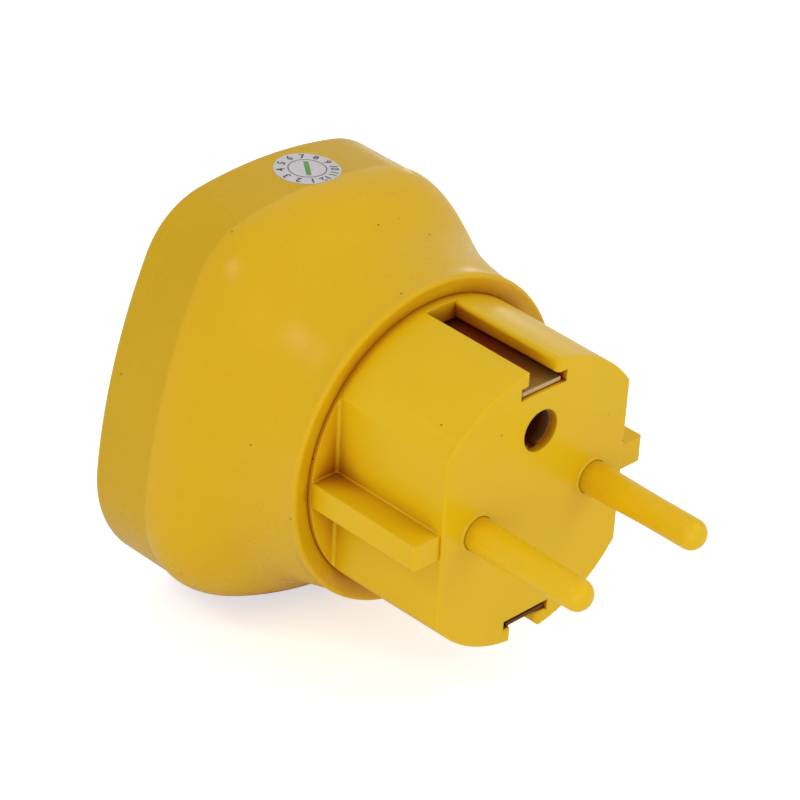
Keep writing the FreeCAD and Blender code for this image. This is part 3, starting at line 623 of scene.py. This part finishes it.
# Leads: the resistors' tinned copper wires, which end in the holes of the tags. The wire is
# drawn, so fine lines run along it.
lead_tin = worked_metal(
    "lead_tin", (202, 200, 196), roughness=0.3, grain=5000.0, stretch=(1.0, 0.03, 1.0),
)
for side in stud_axes:
    dress("leads_" + side, lead_tin)

# Front cover: moulded plate that closes the rim. Its outer face has the fine even grain of a
# spark-eroded tool, so it is duller than the bell.
cover_grain_per_metre = 3600.0
cover_grain_depth = 0.000025
cover_yellow = moulded_yellow("cover_yellow", (228, 185, 12), roughness=0.46, speck_share=0.3)
cover_grain = patches(cover_yellow, cover_grain_per_metre, detail=4.0, roughness=0.6)
raised(cover_yellow, cover_grain, cover_grain_depth, strength=0.6)
dress("front_cover", cover_yellow)

# Cover screws: three countersunk steel screws with a crossed recess, zinc plated. They go
# through the cover into the bosses of the housing.
cover_screw_axes = [(0.01684, 0.01097), (-0.01684, 0.01097), (0.0, -0.02347)]
cover_screw_pitch = 0.001
cover_zinc = ring_metal("cover_zinc", (196, 196, 192), 0.28, cover_screw_axes, cover_screw_pitch)
dress("cover_screws", cover_zinc)

# Floor: a plain white sheet under the part, which only has to take its soft shadow. To the
# camera it is lifted to the white of the tent.
floor_reach = 4.0
floor_lift = 0.55
floor_bm = bmesh.new()
bmesh.ops.create_grid(floor_bm, x_segments=1, y_segments=1, size=floor_reach)
bmesh.ops.translate(floor_bm, verts=floor_bm.verts, vec=(0.0, 0.0, cad_box[0][2]))
floor_white = finish_of("floor_white", grey(0.9), 0.9)
floor_tree = floor_white.node_tree
seen_floor = floor_tree.nodes.new("ShaderNodeLightPath")
lift = floor_tree.nodes.new("ShaderNodeMath")
lift.operation = "MULTIPLY"
lift.inputs[1].default_value = floor_lift
floor_tree.links.new(seen_floor.outputs["Is Camera Ray"], lift.inputs[0])
socket_of(floor_white, "Emission Color").default_value = (1.0, 1.0, 1.0, 1.0)
floor_tree.links.new(lift.outputs["Value"], socket_of(floor_white, "Emission Strength"))
floor = piece_from(floor_bm, "floor", floor_white)

# Studio light: a white tent all round, which the camera sees as pure white, with two large soft
# boxes at the front and two small ones that draw soft highlights on the bell and the head.
tent_level = 0.7
box_distance = 0.6
part_middle = Vector((0.0, -0.017, 0.0))
scene = bpy.context.scene
world = bpy.data.worlds.new("studio")
scene.world = world
world.use_nodes = True
tree = world.node_tree
tree.nodes.clear()
output = tree.nodes.new("ShaderNodeOutputWorld")
tent = tree.nodes.new("ShaderNodeBackground")
tent.inputs["Color"].default_value = (1.0, 1.0, 1.0, 1.0)
tent.inputs["Strength"].default_value = tent_level
white = tree.nodes.new("ShaderNodeBackground")
white.inputs["Color"].default_value = (1.0, 1.0, 1.0, 1.0)
white.inputs["Strength"].default_value = 1.0
path = tree.nodes.new("ShaderNodeLightPath")
seen = tree.nodes.new("ShaderNodeMath")
seen.operation = "MAXIMUM"
tree.links.new(path.outputs["Is Camera Ray"], seen.inputs[0])
tree.links.new(path.outputs["Is Transmission Ray"], seen.inputs[1])
choose = tree.nodes.new("ShaderNodeMixShader")
tree.links.new(seen.outputs["Value"], choose.inputs["Fac"])
tree.links.new(tent.outputs["Background"], choose.inputs[1])
tree.links.new(white.outputs["Background"], choose.inputs[2])
tree.links.new(choose.outputs["Shader"], output.inputs["Surface"])


def soft_box(name, turn, rise, watts, side=0.4):
    """A square soft box, turned from +Y towards +X and raised by the given degrees."""
    turn, rise = math.radians(turn), math.radians(rise)
    way = Vector((
        math.sin(turn) * math.cos(rise), math.cos(turn) * math.cos(rise), math.sin(rise),
    ))
    light = bpy.data.lights.new(name, "AREA")
    light.shape = "SQUARE"
    light.size = side
    light.energy = watts
    lamp = bpy.data.objects.new(name, light)
    lamp.location = part_middle + way * box_distance
    lamp.rotation_euler = (-way).to_track_quat("-Z", "Y").to_euler()
    lamp.visible_camera = False
    scene.collection.objects.link(lamp)


soft_box("front_box", turn=45.0, rise=12.0, watts=0.84)
soft_box("side_box", turn=-45.0, rise=45.0, watts=0.53)
soft_box("high_box", turn=108.0, rise=47.0, watts=0.28, side=0.1)
soft_box("rim_box", turn=-127.0, rise=1.8, watts=0.035, side=0.045)

# Camera: fitted to the photograph from the pins' spacing and the outlines of head and housing.
# It is turned a little on its axis, as it was when the photograph was taken.
camera_data = bpy.data.cameras.new("camera")
camera_data.sensor_width = 36.0
camera_data.lens = 123.824
camera = bpy.data.objects.new("camera", camera_data)
camera.location = (0.20093, 0.17915, 0.17471)
camera.rotation_euler = (math.radians(58.94), math.radians(-2.598), math.radians(136.753))
scene.collection.objects.link(camera)
scene.camera = camera
scene.view_settings.view_transform = "Standard"
